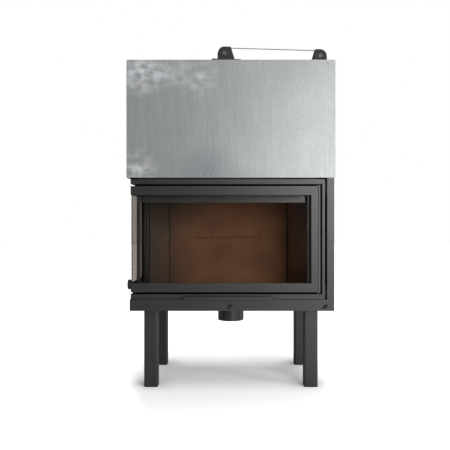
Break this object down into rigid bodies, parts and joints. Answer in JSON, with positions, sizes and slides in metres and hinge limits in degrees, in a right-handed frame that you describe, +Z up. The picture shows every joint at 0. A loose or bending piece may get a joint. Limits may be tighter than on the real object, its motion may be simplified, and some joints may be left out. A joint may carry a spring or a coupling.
{
  "type": "boiler fireplace",
  "caption": "Water-jacketed fireplace insert on square legs with a counterweighted lifting corner glass door and a galvanised upper casing.",
  "frame": {"origin": "centre of the overall box at floor level", "axes": "+X to the right seen from the front, +Y to the back, +Z up"},
  "size_m": [0.9044, 0.589, 1.483],
  "materials": {
    "graphite_paint": "matt heat-proof graphite paint",
    "galvanised_steel": "dull galvanised sheet with cloudy spangle",
    "primed_boiler_steel": "primed boiler plate",
    "bracket_steel": "raw dark steel plate",
    "zinc_hardware": "zinc plated turned steel",
    "steel_cable": "twisted steel wire",
    "refractory_brick": "smoked fireclay",
    "cast_iron": "raw casting",
    "fire_glass": "clear fire glass",
    "fibre_rope": "braided glass fibre rope",
    "black_plastic": "moulded black",
    "black_rubber": "moulded buffer",
    "grip_paint": "black coated steel"
  },
  "bodies": {
    "frame": {"front_legs": "graphite_paint", "rear_legs": "graphite_paint", "leg_end_caps": "black_plastic", "base_tray": "graphite_paint", "front_fascia": "graphite_paint", "base_deck": "galvanised_steel", "right_side_panel": "graphite_paint", "left_rear_panel": "graphite_paint", "lower_back_panel": "graphite_paint", "air_intake_spigot": "graphite_paint", "frame_rope_seal": "fibre_rope", "firebox_frame": "graphite_paint", "hearth_plate": "refractory_brick", "ash_pan": "galvanised_steel", "fire_grate": "cast_iron", "back_lining_lower": "refractory_brick", "back_lining_upper": "refractory_brick", "left_lining": "refractory_brick", "right_lining": "refractory_brick", "smoke_baffle": "refractory_brick", "air_wash_bar": "graphite_paint", "back_water_jacket": "primed_boiler_steel", "right_water_jacket": "primed_boiler_steel", "heat_exchanger": "primed_boiler_steel", "smoke_hood": "primed_boiler_steel", "flue_collar": "primed_boiler_steel", "water_sockets": "primed_boiler_steel", "casing_front": "galvanised_steel", "casing_rear": "galvanised_steel", "casing_left": "galvanised_steel", "casing_right": "galvanised_steel", "casing_top": "galvanised_steel", "casing_screws": "zinc_hardware", "guide_rods": "zinc_hardware", "lift_stop_rings": "black_rubber", "front_pulley_bracket": "bracket_steel", "rear_pulley_bracket": "bracket_steel", "pulley_axles": "zinc_hardware", "lift_cable_run": "steel_cable", "lift_cable_door_drop": "steel_cable", "lift_cable_weight_drop": "steel_cable"},
    "door": {"lift_carriage": "graphite_paint", "door_leaf": "graphite_paint", "leaf_hinge_pins": "zinc_hardware", "front_glass": "fire_glass", "side_glass": "fire_glass", "glass_retainers": "bracket_steel", "leaf_rope_seal": "fibre_rope", "lift_handle": "graphite_paint", "guide_shoes": "black_plastic", "cable_anchor": "zinc_hardware", "latch_stud": "zinc_hardware"},
    "knob": {"latch_knob": "black_plastic"},
    "weight": {"counterweight": "bracket_steel", "counterweight_eye": "zinc_hardware"},
    "pulley_front": {"front_pulley": "zinc_hardware"},
    "pulley_rear": {"rear_pulley": "zinc_hardware"},
    "primary_air": {"primary_air_slide": "grip_paint"},
    "secondary_air": {"secondary_air_slide": "grip_paint"}
  },
  "joints": [
    {"name": "door_lift", "type": "slide", "parent": "frame", "child": "door", "axis": [0, 0, 1], "range_m": [0, 0.45], "deforming": ["lift_cable_door_drop"]},
    {"name": "weight_travel", "type": "slide", "parent": "frame", "child": "weight", "axis": [0, 0, 1], "range_m": [-0.45, 0], "deforming": ["lift_cable_weight_drop"]},
    {"name": "front_pulley_spin", "type": "hinge", "parent": "frame", "child": "pulley_front", "pos_m": [-0.0285, -0.2475, 1.454], "axis": [-0.1037, 0.9946, 0], "range_deg": [0, 1032]},
    {"name": "rear_pulley_spin", "type": "hinge", "parent": "frame", "child": "pulley_rear", "pos_m": [0.3935, -0.2035, 1.454], "axis": [-0.1037, 0.9946, 0], "range_deg": [0, 1032]},
    {"name": "knob_turn", "type": "hinge", "parent": "door", "child": "knob", "pos_m": [-0.433, -0.2545, 0.45], "axis": [-1, 0, 0], "range_deg": [0, 90]},
    {"name": "primary_air_pull", "type": "slide", "parent": "frame", "child": "primary_air", "axis": [0, -1, 0], "range_m": [0, 0.1]},
    {"name": "secondary_air_pull", "type": "slide", "parent": "frame", "child": "secondary_air", "axis": [0, -1, 0], "range_m": [0, 0.06]}
  ],
  "couplings": [
    {"joint": "weight_travel", "follows": "door_lift", "ratio": -1},
    {"joint": "front_pulley_spin", "follows": "door_lift", "rad_per_m": 40},
    {"joint": "rear_pulley_spin", "follows": "door_lift", "rad_per_m": 40}
  ]
}
